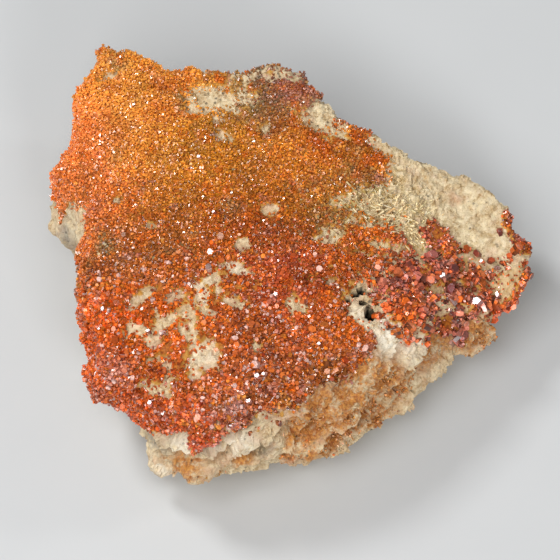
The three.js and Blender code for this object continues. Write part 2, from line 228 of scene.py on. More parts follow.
class Nodes:
    """Builds a material's nodes with few words."""

    def __init__(self, name):
        self.material = bpy.data.materials.new(name)
        self.material.use_nodes = True
        self.tree = self.material.node_tree
        self.shader = self.tree.nodes["Principled BSDF"]
        coordinates = self.tree.nodes.new("ShaderNodeTexCoord")
        scale = self.tree.nodes.new("ShaderNodeVectorMath")
        scale.operation = "SCALE"
        scale.inputs["Scale"].default_value = 1 / MM
        self.link(coordinates.outputs["Object"], scale.inputs[0])
        self.place = scale.outputs["Vector"]

    def link(self, output, socket):
        self.tree.links.new(output, socket)

    def give(self, socket, value):
        if isinstance(value, bpy.types.NodeSocket):
            self.link(value, socket)
        else:
            socket.default_value = value

    def noise(self, length, detail=3.0, roughness=0.55):
        node = self.tree.nodes.new("ShaderNodeTexNoise")
        node.inputs["Scale"].default_value = 1 / length
        node.inputs["Detail"].default_value = detail
        node.inputs["Roughness"].default_value = roughness
        self.link(self.place, node.inputs["Vector"])
        return node.outputs["Fac"]

    def grains(self, length):
        node = self.tree.nodes.new("ShaderNodeTexVoronoi")
        node.inputs["Scale"].default_value = 1 / length
        self.link(self.place, node.inputs["Vector"])
        return node

    def attribute(self, name, output="Fac"):
        node = self.tree.nodes.new("ShaderNodeAttribute")
        node.attribute_name = name
        return node.outputs[output]

    def ramp(self, value, start, end, low=0.0, high=1.0):
        node = self.tree.nodes.new("ShaderNodeMapRange")
        node.interpolation_type = "SMOOTHSTEP"
        self.give(node.inputs["Value"], value)
        node.inputs["From Min"].default_value = start
        node.inputs["From Max"].default_value = end
        node.inputs["To Min"].default_value = low
        node.inputs["To Max"].default_value = high
        return node.outputs["Result"]

    def maths(self, operation, a, b):
        node = self.tree.nodes.new("ShaderNodeMath")
        node.operation = operation
        self.give(node.inputs[0], a)
        self.give(node.inputs[1], b)
        return node.outputs["Value"]

    def times(self, a, b):
        return self.maths("MULTIPLY", a, b)

    def mix(self, share, a, b):
        node = self.tree.nodes.new("ShaderNodeMix")
        node.data_type = "RGBA"
        self.give(node.inputs["Factor"], share)
        self.give(node.inputs["A"], a)
        self.give(node.inputs["B"], b)
        return node.outputs["Result"]

    def tinge(self, body, name, patchy, strength, code):
        """The body with a colour mixed in, in patches, where the mesh's value of that name is high."""
        share = self.times(self.attribute(name), patchy)
        return self.mix(self.times(share, strength), body, paint(code))

    def bump(self, height, strength, distance):
        node = self.tree.nodes.new("ShaderNodeBump")
        node.inputs["Strength"].default_value = strength
        node.inputs["Distance"].default_value = distance
        self.link(height, node.inputs["Height"])
        self.link(node.outputs["Normal"], self.shader.inputs["Normal"])


def paint(code):
    """The colour with the opacity that a node's colour needs."""
    return (*linear(code), 1)


def rock_material():
    """Pale, fine-grained rock; lengths of its patterns in millimetres."""
    nodes = Nodes("rock")
    pale = nodes.mix(nodes.ramp(nodes.noise(2.6, 5), 0.38, 0.62), paint("BC9A68"), paint("ECD8AE"))
    grain = nodes.ramp(nodes.grains(0.8).outputs["Color"], 0.25, 0.75)
    fine = nodes.mix(grain, paint("A8845A"), paint("FAE9CC"))
    fine = nodes.mix(nodes.ramp(nodes.noise(0.6, 4), 0.35, 0.65), fine, paint("F0DEB8"))
    body = nodes.mix(0.5, pale, fine)
    pink = nodes.ramp(nodes.noise(7.0, 3), 0.5, 0.68)
    body = nodes.mix(nodes.times(pink, 0.45), body, paint("D2A284"))
    body = nodes.tinge(body, "golden", nodes.ramp(nodes.noise(1.7, 4), 0.42, 0.6), 0.7, "B89A44")
    body = nodes.tinge(body, "white", nodes.ramp(nodes.noise(1.6, 4), 0.3, 0.5), 0.85, "FFF6E2")
    body = nodes.tinge(body, "grey", nodes.ramp(nodes.noise(2.5, 4), 0.3, 0.5), 0.8, "9E978A")
    patchy = nodes.ramp(nodes.noise(2.2, 6, 0.7), 0.37, 0.53)
    stain = nodes.times(nodes.ramp(nodes.attribute("stain"), 0.08, 0.65), patchy)
    rust = nodes.mix(nodes.ramp(nodes.noise(0.7, 4), 0.35, 0.65), paint("AE5E14"), paint("DE9840"))
    body = nodes.mix(nodes.times(stain, 0.9), body, rust)
    specks = nodes.ramp(nodes.grains(1.4).outputs["Distance"], 0.16, 0.34, 1.0, 0.0)
    speckled = nodes.maths("ADD", nodes.ramp(nodes.noise(5.0, 2), 0.54, 0.66), nodes.attribute("speckled"))
    specks = nodes.times(specks, nodes.maths("MINIMUM", speckled, 1.0))
    body = nodes.mix(nodes.times(specks, 0.75), body, paint("54493A"))
    body = nodes.tinge(body, "dark", nodes.ramp(nodes.noise(1.1, 4), 0.35, 0.55), 1.0, "3A3022")
    # The small holes are painted near black: painted shade inside the pit.
    body = nodes.mix(nodes.attribute("hole"), body, paint("0C0906"))
    under = nodes.mix(nodes.ramp(nodes.noise(0.9, 4), 0.35, 0.65), paint("94440C"), paint("CC7820"))
    crust = nodes.attribute("crust")
    body = nodes.mix(nodes.ramp(crust, 0.02, 0.35), body, paint("D29C46"))
    body = nodes.mix(nodes.ramp(crust, 0.4, 0.95), body, under)
    nodes.link(body, nodes.shader.inputs["Base Color"])
    nodes.link(nodes.ramp(nodes.noise(1.2, 4), 0.3, 0.7, 0.45, 0.85), nodes.shader.inputs["Roughness"])
    nodes.bump(nodes.noise(0.4, 6, 0.7), 0.7, 0.4 * MM)
    return nodes.material


def crystal_material(name, roughness_low, roughness_high, glow, contrast=1.0):
    """Glossy crystals in their own tints, with painted shade at their feet; glow is how far some faces turn
    bright orange as painted light shining through, and contrast is how much the faces of one crystal differ.
    """
    nodes = Nodes(name)
    facet = nodes.attribute("facet")
    cloudy = nodes.ramp(nodes.noise(0.45, 4), 0.3, 0.7, 0.72, 1.28)
    uneven = nodes.ramp(facet, 0.0, 1.0, -0.5 * contrast, 0.45 * contrast)
    uneven = nodes.maths("ADD", 1.0, nodes.times(uneven, nodes.attribute("tint_and_foot_shade", "Alpha")))
    shade = nodes.tree.nodes.new("ShaderNodeVectorMath")
    shade.operation = "SCALE"
    nodes.link(nodes.attribute("tint_and_foot_shade", "Color"), shade.inputs[0])
    nodes.link(nodes.times(cloudy, uneven), shade.inputs["Scale"])
    # The faces with the highest facet values are mixed towards bright orange: a painted glow of light shining
    # through the crystal.
    painted_glow = nodes.mix(nodes.ramp(facet, 0.55, 1.0, 0.0, glow), shade.outputs["Vector"], paint("E8861C"))
    # Some faces turn pale pink: painted highlights, standing for the lights' reflection.
    pale = nodes.ramp(nodes.times(facet, nodes.noise(1.5, 2)), 0.46, 0.6, 0.0, 0.3 * contrast)
    nodes.link(nodes.mix(pale, painted_glow, paint("D8A89C")), nodes.shader.inputs["Base Color"])
    roughness = nodes.ramp(nodes.noise(0.5, 3), 0.35, 0.65, roughness_low, roughness_high)
    nodes.link(roughness, nodes.shader.inputs["Roughness"])
    nodes.shader.inputs["IOR"].default_value = 1.68
    nodes.bump(nodes.noise(0.3, 4), 0.3, 0.08 * MM)
    return nodes.material


def floor_material():
    """Plain pale grey, a little cloudy."""
    nodes = Nodes("floor")
    shade = nodes.mix(nodes.noise(40.0, 2), paint("C9CBCC"), paint("CFD1D2"))
    nodes.link(shade, nodes.shader.inputs["Base Color"])
    nodes.shader.inputs["Roughness"].default_value = 0.8
    return nodes.material


# ---- The rock ----

rock_voxel = 0.62


def remeshed(node, voxel):
    """A copy of a frame node's mesh, remade from small even squares."""
    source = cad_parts[node]
    copy = added("remesh", source.data.copy())
    remesh = copy.modifiers.new("remesh", "REMESH")
    remesh.mode = "VOXEL"
    remesh.voxel_size = voxel * MM
    graph = bpy.context.evaluated_depsgraph_get()
    mesh = bpy.data.meshes.new_from_object(copy.evaluated_get(graph))
    bpy.data.objects.remove(copy)
    mesh.materials.clear()
    return mesh


def vectors_of(items, name):
    """One vector of each item of a mesh, as the rows of an array."""
    flat = np.empty(len(items) * 3, np.float32)
    items.foreach_get(name, flat)
    return flat.reshape(-1, 3).astype(float)


def distance_to(node, points, reach):
    """How far each point is from a frame node, no more than reach."""
    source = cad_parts[node]
    corners = np.array([vertex.co / MM for vertex in source.data.vertices])
    tree = BVHTree.FromPolygons(corners.tolist(), [face.vertices[:] for face in source.data.polygons])
    near = (points > corners.min(axis=0) - reach) & (points < corners.max(axis=0) + reach)
    result = np.full(len(points), float(reach))
    for number in np.flatnonzero(near.all(axis=1)):
        _, _, _, distance = tree.find_nearest(points[number], reach)
        if distance is not None:
            result[number] = distance
    return result


druses = [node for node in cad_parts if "crust" in node or "druse" in node]
edge_reach = 5.0

rock_mesh = remeshed("matrix", rock_voxel)
rock = vectors_of(rock_mesh.vertices, "co") / MM
rock_normal = vectors_of(rock_mesh.vertex_normals, "vector")
edge_distance = {node: distance_to(node, rock, edge_reach) for node in druses}

# Bare patches in the crust: x, y, half length, half width, turn.
bare_patches = [
    (-18.7, 38.5, 7.6, 4.3, 0), (-17, 28.6, 2.2, 1.3, -0.3), (-6.7, 30.5, 1.3, 1.1, 0),
    (-44, 45.2, 2.2, 0.9, 0.5), (7.7, 33.1, 5.4, 2.8, -0.5), (15.6, 11.8, 4.2, 2.2, 0.1),
    (-0.5, 46.8, 3.8, 2, -0.3), (-10, 46, 4, 1.8, 0.2), (-19, 47, 2.8, 1.5, 0),
    (-5.6, 7.3, 1.7, 1.4, 0), (8.9, 0.7, 2.9, 1.6, 0.4), (18.4, -7.1, 1.7, 1, 0),
    (9.1, -12.8, 1.2, 1, 0), (1.2, -20, 2.4, 1.7, 0), (24, -9, 1.5, 0.9, 0),
    (-14.2, -9.2, 3.8, 1.5, -0.35), (-19.4, -11.7, 1.8, 1.6, 0), (-22.6, -14.8, 2.2, 1.5, -0.7),
    (-28.6, -16.7, 2.1, 1.2, 0), (-37.2, -17.6, 2.4, 1.4, 0.3), (-34.6, -14.2, 1.5, 0.7, 0),
    (-25.4, -26.7, 2.4, 1.2, -0.8), (-19.9, -21.2, 1.6, 1, 0), (-13.2, -18.7, 2.5, 1, -0.3),
    (-12.2, -2.6, 1.4, 1.6, 0), (-33.6, -28.6, 1.8, 1.2, 0), (-20.9, -32.8, 3.9, 3.4, 0.5),
    (-23.3, -38.1, 1.4, 1.1, 0), (-31.9, -41.4, 3.2, 0.9, -0.6), (-8.9, -30.3, 1, 1.2, 0),
    (-33.8, 3.2, 1.1, 0.8, 0), (-42, 11, 0.9, 0.7, 0), (36, -14, 1.6, 1.3, 0), (33, -19, 2, 1.2, 0.4),
    (44, -16, 1.5, 1, 0), (17.6, -17.8, 4.6, 5.0, 0), (24, -24.5, 6, 2.4, -0.2),
    (16, -22.6, 2.8, 1.2, -0.9), (-31, -24, 2.4, 1.4, 0.4), (-37, -25, 2.2, 1.4, 0),
    (-21.5, -16.5, 1.6, 2.2, 0.5), (-25, -21, 1.4, 1.6, 0), (-42, 52.8, 1.2, 0.8, 0),
    (31, -23.8, 8, 1.5, 0.62), (22, 9, 4.6, 2.0, -0.35), (28.4, 4.4, 3.2, 1.5, -1.0),
]

# Where the crust is thin and the rock shows through in many small openings: x, y, reach, strength.
thin_places = [
    (-26, -22, 14, 1.0), (-18.7, 38, 12, 0.6), (8, 28, 10, 0.8), (10, -2, 12, 0.6), (2, -18, 9, 0.7),
    (-40, 8, 8, 0.5), (-4, 44, 12, 0.7), (16, 8, 9, 0.8), (-32, -42, 8, 0.5), (18, -10, 8, 0.6),
    (36, -14, 16, 0.7), (22, 1, 7, 1.0), (12, 8, 7, 0.7), (-38, -30, 9, 0.45), (-40, -18, 7, 0.4),
    (-14, -14, 8, 0.4), (-26, -36, 7, 0.2),
]


def bareness(points):
    """1 in the middle of a bare patch, 0 outside, with a ragged edge."""
    wander = 0.5 * fractal(points, 3.0, 301) + 0.5 * fractal(points, 1.2, 311, 2)
    margin = 0.4
    result = np.zeros(len(points))
    for x, y, half_length, half_width, turn in bare_patches:
        across, back = points[:, 0] - x, points[:, 1] - y
        along = (across * math.cos(turn) + back * math.sin(turn)) / (half_length + margin)
        aside = (back * math.cos(turn) - across * math.sin(turn)) / (half_width + margin)
        result = np.maximum(result, smooth(1.6, 0.8, np.hypot(along, aside) + wander))
    thin = np.zeros(len(points))
    for x, y, reach, strength in thin_places:
        thin += strength * np.exp(-((points[:, 0] - x) ** 2 + (points[:, 1] - y) ** 2) / reach**2)
    opening = 0.6 * fractal(points, 3.0, 321) + 0.4 * fractal(points, 1.1, 331, 2)
    level = 1.0 - 0.78 * np.clip(thin, 0, 1)
    return np.maximum(result, 0.95 * smooth(level, level + 0.2, opening + 0.35))


def blob(points, place, reach):
    """1 at place, falling softly to 0 beyond reach; reach may differ by axis."""
    away = (points - np.array(place)) / np.asarray(reach, float)
    return np.exp(-(away**2).sum(axis=1))


def turned(points, turn):
    """The points turned about the upright axis by an angle of their own."""
    along = points[:, 0] * np.cos(turn) + points[:, 1] * np.sin(turn)
    across = points[:, 1] * np.cos(turn) - points[:, 0] * np.sin(turn)
    return np.stack([along, across, points[:, 2]], axis=1)


def on_flank(node):
    """Whether a druse is one of those on the broken front side."""
    return node.startswith(("flank", "ledge"))


def growth(node, points, distance, steep, spread=0.0):
    """1 where the rock lies under a druse, with a ragged edge; spread fades it outwards."""
    ragged = 0.3 * fractal(points, 2.0, 77) + 0.25 * noise(points, 0.9, 79)
    if not on_flank(node):
        tongue = blob(points, (-6, -49, 25), (13, 10, 12))
        ragged = ragged + steep * (0.1 + 0.8 * tongue)
    return smooth(0.95 + spread, 0.45, distance + ragged)


# The small holes beside the pit: x, y, radius, depth.
small_holes = [
    (14.8, -15.2, 0.8, 2.4), (16.4, -13.8, 0.9, 2.8), (19.6, -16.9, 0.7, 2.0), (18.6, -14.0, 0.5, 1.4),
    (13.2, -17.6, 0.6, 1.6), (16.2, -18.9, 1.0, 6.0), (17.3, -19.8, 1.2, 6.0), (18.4, -21.2, 0.9, 5.0),
]

# Lumps and hollows of the broken sides: x, y, z, reach along x, y and z, push outwards.
lumps = [
    (-32, -47, 22, 3.2, 5, 4.5, 1.6), (-25.4, -50.9, 27, 3.4, 5, 2.6, 2.4),
    (-31.2, -48.4, 12, 2.6, 5, 2.6, 2.0), (-19, -51, 25.5, 2.5, 5, 2.2, 1.2),
    (-12.7, -49.8, 25.4, 5.0, 5, 1.5, 1.8), (-8.6, -49.4, 21, 1.8, 4, 2.4, -2.4),
    (-22, -52, 22, 6.0, 5, 1.2, -1.6), (-24.7, -53, 17.5, 5, 5, 2.2, 1.5),
    (-11.5, -50.3, 16.5, 3.5, 5, 2.0, 1.2), (9, -38.5, 33, 2.4, 3, 2.2, 1.4),
    (3, -43.5, 29.5, 2.6, 3, 2.2, 1.6), (-1, -47, 24, 2, 4, 4, -1.4), (12, -41.5, 26, 4, 4, 2.0, 1.4),
    (6, -45, 21, 5, 4, 1.2, -1.3), (4, -46, 16, 5, 5, 2.2, 1.4), (16, -36, 24, 3.5, 4, 1.4, -1.4),
    (20, -33, 29, 3.5, 4, 1.8, 1.3), (14, -40, 17, 4, 5, 2.4, 1.5), (25, -31, 20, 3, 5, 3.0, 1.2),
    (30, -25.5, 25, 4, 4, 1.5, 1.2), (36, -20, 22, 4, 5, 1.3, -1.4), (-53.5, 9, 24, 4, 4, 2.4, 1.6),
    (-55, 13, 18, 4, 5, 2.4, 1.4), (-52, 2, 20, 4, 4, 1.4, -1.4),
]


def druse_gaps(points):
    """1 where the coarse druse on the arm leaves the rock bare."""
    return smooth(-0.15, 0.06, fractal(points, 3.4, 421) + 0.5 * fractal(points, 1.2, 427, 2))


# How wide, deep and high one broken face is, from the largest to the smallest.
ledge = (10, 10, 3.8)
block = (4.2, 4.2, 2.2)
chip = (1.9, 1.9, 1.3)
blade = (4.2, 0.9, 3)
grain = (1.6, 1.6, 1.6)


def under_crystals(side):
    """1 where the rock lies under the crystals of its upper side."""
    covered = np.zeros(len(rock))
    for node in druses:
        if on_flank(node):
            continue
        grown = growth(node, rock, edge_distance[node], side)
        if node == "right_druse":
            grown = grown * (1 - 0.85 * druse_gaps(rock))
        covered = np.maximum(covered, grown)
    return covered


def side_relief(side, front):
    """Ledges, steps and grains of the broken sides, stronger at the front, with the lumps and hollows."""
    slanted = rock + np.array([0.25, 0.1, -0.35]) * rock[:, :1]
    relief = side * (1.8 + 1.4 * front) * broken_faces(slanted, ledge, 500, 1.2)
    relief += side * (0.8 + 0.5 * front) * broken_faces(slanted, block, 520, 1.4)
    relief += side * 0.45 * broken_faces(rock, chip, 530, 1.4)
    wandering = rock + 0.8 * np.stack([noise(rock, 3, 601 + axis) for axis in range(3)], axis=1)
    for x, y, z, reach_x, reach_y, reach_z, push in lumps:
        inside_lump = smooth(0.15, 0.55, blob(wandering, (x, y, z), (reach_x, reach_y, reach_z)))
        relief += push * inside_lump * smooth(0.0, 0.4, side + 0.2)
    return relief


# The pale ridge beside the pit, as soft lumps: place and reach along x, y and z.
ridge_lumps = [
    ((15.2, -21.2, 34), (1.2, 1.8, 4)), ((17, -23.6, 34), (1.5, 1.5, 4)), ((23, -25, 33), (5.5, 1.5, 4)),
]
ridge_height = 1.2


def add_top_relief(relief, top, covered, bare):
    """Adds the blades, grains and swells of the upper side, and the ridge."""
    open_top = top * (1 - covered)
    bladed_area = blob(rock, (16, 14, 33), (10, 13, 20)) + 0.2
    calm_area = blob(rock, (42, 6, 27), (15, 12, 20))
    along_blades = turned(rock, 1.3 * noise(rock, 12, 41) + 0.9)
    relief += open_top * bladed_area * 1.1 * broken_faces(along_blades, blade, 540, 1.6)
    relief += open_top * (0.5 - 0.3 * calm_area) * broken_faces(rock, grain, 560, 1.6)
    relief += open_top * 0.6 * fractal(rock, 5.0, 65)
    bumpy = 0.8 * fractal(rock, 5.5, 61) + 0.4 * fractal(rock, 2.0, 67, 2)
    relief += covered * (bumpy + 1.0) - bare * top * 0.3
    relief += 0.16 * fractal(rock, 1.3, 71)
    ridge = sum(blob(rock, place, reach) for place, reach in ridge_lumps)
    relief += ridge_height * np.minimum(ridge, 1)


def dig_holes(moved):
    """Lowers the moved vertices inside the small holes, and returns 1 in and round each hole, where the rock
    is painted near black as shade.
    """
    painted_pit_shade = np.zeros(len(rock))
    upper = rock[:, 2] > centre[2]
    for x, y, radius, depth in small_holes:
        away = np.hypot(rock[:, 0] - x, rock[:, 1] - y) / radius + 0.2 * noise(rock, 1.1, 91)
        painted_pit_shade = np.maximum(painted_pit_shade, smooth(1.35, 1.15, away) * upper)
        moved[:, 2] -= depth * smooth(1.25, 0.95, away) * upper
    return painted_pit_shade


def shape_rock():
    """Gives the rock its relief; returns how far each vertex is covered, top, side, hollow and the painted
    shade of the holes.
    """
    top = smooth(0.2, 0.7, rock_normal[:, 2])
    side = 1 - smooth(0.35, 0.8, np.abs(rock_normal[:, 2]))
    front = smooth(0, -15, rock[:, 1])
    bare = bareness(rock)
    covered = under_crystals(side) * (1 - bare)
    relief = side_relief(side, front)
    hollow = side * smooth(0.7, -0.9, relief + 0.5 * fractal(rock, 2.2, 611, 2))
    relief -= side * (0.2 + 0.5 * front)
    back_rim = smooth(0.15, 0.6, rock_normal[:, 1]) * smooth(14, 26, rock[:, 2]) * smooth(42, 22, rock[:, 0])
    relief += 1.2 * back_rim
    add_top_relief(relief, top, covered, bare)
    relief *= smooth(0.3, 2.5, rock[:, 2])
    moved = rock + rock_normal * relief[:, None]
    painted_pit_shade = dig_holes(moved)
    resting = rock[:, 2] < 0.35
    moved[:, 2] = np.where(resting, 0, np.maximum(moved[:, 2], 0))
    rock_mesh.vertices.foreach_set("co", (moved * MM).astype(np.float32).ravel())
    rock_mesh.update()
    return covered, top, side, hollow, painted_pit_shade


covered, top, side, hollow, painted_pit_shade = shape_rock()
rock = vectors_of(rock_mesh.vertices, "co") / MM
rock_normal = vectors_of(rock_mesh.vertex_normals, "vector")


def set_value(mesh, name, values):
    """Stores one number for each vertex, for the material to read by that name."""
    layer = mesh.attributes.new(name, "FLOAT", "POINT")
    layer.data.foreach_set("value", values.astype(np.float32))


# Soft spots on the rock, by what they change: x, y, z, reach, strength. The stain is orange-brown and sugary.
rock_spots = {
    "stain": [
        (16, -35, 29, 7, 1.3), (7, -42, 27, 7, 1.2), (4, -45, 24, 5, 1.0), (12, -41, 24, 5, 0.8),
        (23, -31, 24, 4, 0.8), (-25, -52, 18, 4, 0.9), (-12, -50, 18, 3, 0.7), (-30, -49, 16, 3, 0.4),
        (34, -20, 20, 6, 0.9), (42, -16, 18, 5, 1.2), (30, -28, 20, 4, 0.6), (48, -12, 18, 4, 0.8),
        (4, -48, 14, 5, 0.7),
    ],
    "grey": [
        (-32, -47, 22, 4, 1.2), (-21, -50, 27, 3, 0.7), (9, -38.5, 32.5, 2.5, 1.2), (3, -43, 30, 2.5, 0.9),
        (6, -44, 27, 2, 0.6), (-54, 8, 22, 6, 1.0), (36, -19, 22, 4, 0.6), (-6, -50, 22, 3, 0.5),
    ],
    "white": [
        (15.2, -21.2, 35, 2.2, 1.2), (17.5, -23.8, 34, 2.6, 1.4), (23, -25.2, 33, 4.5, 1.3),
        (31, -24, 28, 3.5, 0.7), (-12.7, -50, 25.4, 3.5, 1.2), (-25.4, -51, 27, 3.5, 1.3),
        (-18, -50, 26, 3, 0.8), (-31, -48.5, 12, 2.5, 1.2), (28, -26.5, 28, 3, 0.7),
        (35, -21, 24, 2.5, 0.7), (-20.9, -32.8, 34, 4, 0.6), (-13, -9, 36, 4, 0.5), (-21, -15, 36, 4, 0.5),
    ],
    "golden": [
        (16, 12, 33, 11, 1.0), (43, 2, 26, 4, 1.2), (27.5, 9, 30, 5, 1.0), (30.5, 2, 29, 4, 0.9),
        (22, 14, 32, 5, 0.8),
    ],
    "speckled": [
        (-19, 38, 33, 9, 1.2), (-6, 44, 33, 8, 1.2), (-26, 43, 33, 6, 1.2), (8, 34, 33, 6, 0.7),
        (16, -14, 35, 4, 1.2),
    ],
    # The first dark spot is painted shade in the hollow of the front side; the others darken the rock in
    # small spots.
    "dark": [
        (-8.6, -49.5, 20.5, 2.2, 1.2), (-19, 45.5, 33, 2.0, 1.4), (-49, 10, 28, 1.5, 1.0),
        (-22, -50, 30, 1.5, 0.6),
    ],
}


def spots(points, name):
    """The highest value that any soft spot of that name has at each point, at most 1."""
    highest = np.zeros(len(points))
    for x, y, z, reach, strength in rock_spots[name]:
        highest = np.maximum(highest, strength * blob(points, (x, y, z), reach))
    return np.clip(highest, 0, 1)


def finish_rock():
    """Stores what the rock's material needs on its mesh and makes it a piece."""
    set_value(rock_mesh, "crust", covered)
    set_value(rock_mesh, "hole", painted_pit_shade)
    for name in ("grey", "white", "speckled", "dark"):
        set_value(rock_mesh, name, spots(rock, name))
    set_value(rock_mesh, "golden", np.clip(0.15 + spots(rock, "golden"), 0, 1) * top)
    stained = spots(rock, "stain") + 0.1 * side
    for node in filter(on_flank, druses):
        under_druse = growth(node, rock, edge_distance[node], side, 1.0)
        stained = np.maximum(stained, under_druse * (0.3 + 0.95 * hollow))
    set_value(rock_mesh, "stain", stained * (1 - 0.8 * spots(rock, "white")))
    rock_mesh.materials.append(rock_material())
    rock_mesh.shade_flat()
    piece = added("rock", rock_mesh)
    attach(piece, "root")
    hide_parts("matrix")


finish_rock()


# ---- Where crystals grow ----

rock_mesh.calc_loop_triangles()
corners = np.empty(len(rock_mesh.loop_triangles) * 3, np.int32)
rock_mesh.loop_triangles.foreach_get("vertices", corners)
corners = corners.reshape(-1, 3)
edge_a = rock[corners[:, 1]] - rock[corners[:, 0]]
edge_b = rock[corners[:, 2]] - rock[corners[:, 0]]
triangle_area = 0.5 * np.linalg.norm(np.cross(edge_a, edge_b), axis=1)


def scatter(weight, spacing):
    """Points on the rock, about spacing apart, kept with a chance of weight, with their normals."""
    share = weight[corners].mean(axis=1)
    area = triangle_area * (share > 0.01)
    total = area.sum()
    tries = 4  # for each square of the wanted spacing
    count = int(tries * total / spacing**2)
    if count == 0:
        return np.zeros((0, 3)), np.zeros((0, 3))
    reached = np.cumsum(area) / total
    picked = np.searchsorted(reached, random.random(count)).clip(0, len(corners) - 1)
    a, b = random.random((2, count))
    flip = a + b > 1
    a = np.where(flip, 1 - a, a)
    b = np.where(flip, 1 - b, b)
    shares = np.stack([1 - a - b, a, b], axis=1)[:, :, None]
    chosen = corners[picked]
    points = (rock[chosen] * shares).sum(axis=1)
    normals = unit((rock_normal[chosen] * shares).sum(axis=1))
    cells = np.floor(points / spacing).astype(np.int64)
    first = np.sort(np.unique(cells, axis=0, return_index=True)[1])
    weights = (weight[chosen] * shares[:, :, 0]).sum(axis=1)
    kept = first[random.random(len(first)) < weights[first]]
    return points[kept], normals[kept]


# ---- Crystals ----

class Crystals:
    """A growing list of six-sided crystals, kept as arrays until they are made into one mesh."""

    def __init__(self):
        self.parts = []

    def grow(self, points, normals, width, length, lean, tints, bevelled=False, contrast=1.0):
        """Adds a crystal at each point; width, and length in widths, are (least, most).

        lean is how far the crystals stray from the rock's normal; contrast is how much the faces of one
        crystal differ in colour. A bevelled crystal has a broad foot, and a plain one a pointed foot.
        """
        count = len(points)
        stray = unit(random.normal(size=(count, 3)))
        axis = unit(normals + np.reshape(lean, (-1, 1)) * random.random((count, 1)) ** 0.7 * stray)
        radius = 0.5 * (width[0] + (width[1] - width[0]) * random.random(count) ** 1.6)
        height = 2 * radius * (length[0] + (length[1] - length[0]) * random.random(count))
        turn = random.random(count) * math.pi / 3
        stretch = 0.8 + 0.4 * random.random(count)
        tints = np.column_stack([tints, np.broadcast_to(contrast, count)])
        self.parts.append((points, axis, radius, height, turn, tints, np.full(count, bevelled), stretch))

    def arrays(self):
        """What grow was given and drew, one array for each kind, over all crystals."""
        return [np.concatenate(columns) for columns in zip(*self.parts)]


# The crystal's rings as (radius share, place along the axis: 0 is the foot and 1 the tip).
plain_rings = [(0, 0), (1, 1)]
bevelled_rings = [(0.9, 0), (1, 0.6), (1, 0.92), (0.9, 1)]


def crystal_arrays(values, bevelled):
    """Vertices, faces and tints of many crystals with the same rings; the tints darken towards each foot as
    painted shade.
    """
    points, axis, radius, height, turn, tints, _, stretch = values
    count = len(points)
    helper = np.where(np.abs(axis[:, 2:3]) < 0.9, [[0.0, 0, 1]], [[1.0, 0, 0]])
    side_a = unit(np.cross(axis, helper))
    side_b = np.cross(axis, side_a)
    sunk = 0.45 * height + 0.25 * radius if bevelled else 3.5 * radius  # how deep the foot is in the rock
    rings = bevelled_rings if bevelled else plain_rings
    uneven = 1 + 0.2 * (random.random((count, 6)) - 0.5)
    # Towards its foot each crystal's colour darkens to half: painted shade between the crystals. The contrast
    # value stays as it is.
    painted_foot_shade = 0.5 * np.array([1, 1, 1, 0])
    vertices = []
    shades = []
    for share, along in rings:
        middle = points + axis * (along * (height + sunk) - sunk)[:, None]
        for corner in range(6 if share else 1):
            angle = turn + corner * math.pi / 3
            reach = radius * share * uneven[:, corner]
            spoke = side_a * (np.cos(angle) * stretch)[:, None] + side_b * (np.sin(angle) / stretch)[:, None]
            vertices.append(middle + spoke * reach[:, None])
            shades.append(tints * (1 - (1 - along) * painted_foot_shade))
    last = len(vertices) - 6
    if bevelled:
        faces = [tuple(range(5, -1, -1))]
        for ring in range(0, last, 6):
            for corner in range(6):
                after = (corner + 1) % 6
                faces.append((ring + corner, ring + after, ring + 6 + after, ring + 6 + corner))
    else:
        faces = [(0, 1 + (corner + 1) % 6, 1 + corner) for corner in range(6)]
    faces.append(tuple(range(last, last + 6)))
    return np.stack(vertices, axis=1), faces, np.stack(shades, axis=1)


def build_mesh(name, crystals):
    """One mesh of many crystals, with their tints and a map in which each has a cell of its own."""
    values = crystals.arrays()
    bevels = values[6]
    vertex_blocks, tint_blocks, map_blocks, loop_blocks, size_blocks = [], [], [], [], []
    start = 0
    cells_across = math.ceil(math.sqrt(len(bevels)))
    cell_number = 0
    for bevelled in (False, True):
        group = [column[bevels == bevelled] for column in values]
        count = len(group[0])
        if count == 0:
            continue
        vertices, faces, shades = crystal_arrays(group, bevelled)
        per_crystal = vertices.shape[1]
        loops = np.array([corner for face in faces for corner in face])
        sizes = np.array([len(face) for face in faces])
        starts = start + per_crystal * np.arange(count)
        vertex_blocks.append(vertices.reshape(-1, 3))
        tint_blocks.append(shades.reshape(-1, 4))
        loop_blocks.append((starts[:, None] + loops[None, :]).ravel())
        size_blocks.append(np.tile(sizes, count))
        map_blocks.append(cell_map(loops, bevelled, cell_number + np.arange(count), cells_across))
        start += per_crystal * count
        cell_number += count
    vertices = np.concatenate(vertex_blocks) * MM
    loops = np.concatenate(loop_blocks)
    sizes = np.concatenate(size_blocks)
    mesh = bpy.data.meshes.new(name)
    mesh.vertices.add(len(vertices))
    mesh.loops.add(len(loops))
    mesh.polygons.add(len(sizes))
    mesh.vertices.foreach_set("co", vertices.astype(np.float32).ravel())
    mesh.loops.foreach_set("vertex_index", loops.astype(np.int32))
    mesh.polygons.foreach_set("loop_start", np.concatenate([[0], np.cumsum(sizes)[:-1]]).astype(np.int32))
    mesh.update(calc_edges=True)
    # The tints carry the painted shade of the crystals' feet.
    tint_and_foot_shade = mesh.attributes.new("tint_and_foot_shade", "FLOAT_COLOR", "POINT")
    tint_and_foot_shade.data.foreach_set("color", np.concatenate(tint_blocks).astype(np.float32).ravel())
    facet = mesh.attributes.new("facet", "FLOAT", "FACE")
    facet.data.foreach_set("value", random.random(len(sizes)).astype(np.float32))
    layer = mesh.uv_layers.new(name="OFBake")
    layer.uv.foreach_set("vector", np.concatenate(map_blocks).astype(np.float32).ravel())
    mesh.shade_flat()
    return mesh


